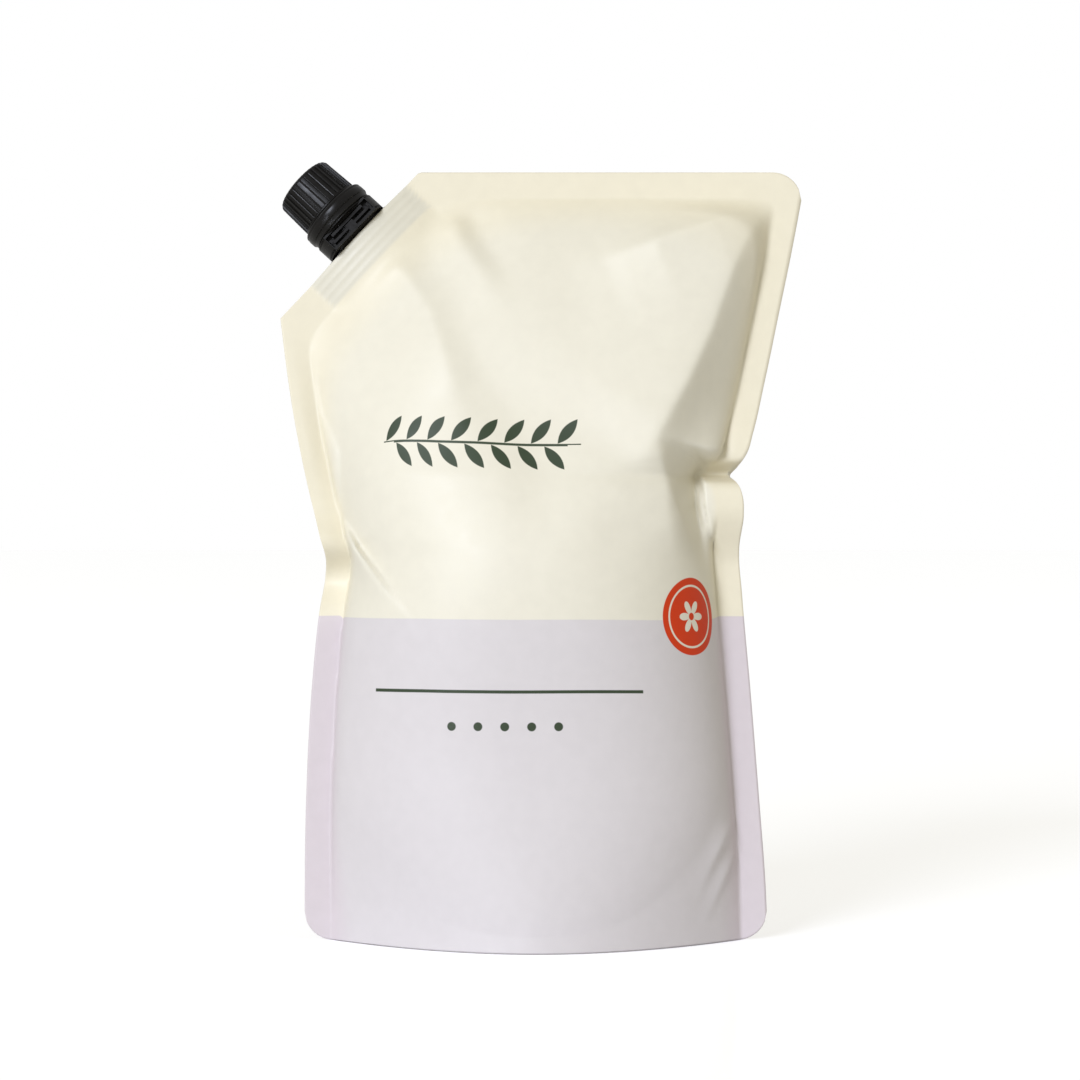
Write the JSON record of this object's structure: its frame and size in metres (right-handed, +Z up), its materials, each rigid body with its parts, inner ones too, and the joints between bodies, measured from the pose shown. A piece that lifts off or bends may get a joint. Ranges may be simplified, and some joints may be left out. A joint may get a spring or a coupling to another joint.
{
  "type": "hand soap refill pack",
  "caption": "Filled stand-up film pouch with a folded-in base, sealed edges and a cut corner, which holds a welded pouring spout with a tamper band and a ribbed screw cap.",
  "frame": {"origin": "middle of the pouch's base, on the surface it stands on", "axes": "+Z up, +X along the pouch's width to the right as seen from the front, +Y from the front to the back"},
  "size_m": [0.1817, 0.081, 0.2681],
  "materials": {
    "film": "satin",
    "black_plastic": "satin"
  },
  "bodies": {
    "pack": {"pouch": "film", "spout": "black_plastic"},
    "band": {"tamper_band": "black_plastic"},
    "cap": {"screw_cap": "black_plastic"}
  },
  "joints": [
    {"name": "cap_turn", "type": "hinge", "parent": "pack", "child": "band", "pos_m": [-0.07613, 0.01203, 0.25622], "axis": [-0.7325, 0.1041, 0.6727], "range_deg": [0, 540]},
    {"name": "cap_lift", "type": "slide", "parent": "band", "child": "cap", "axis": [-0.7325, 0.1041, 0.6727], "range_m": [0, 0.045]}
  ]
}
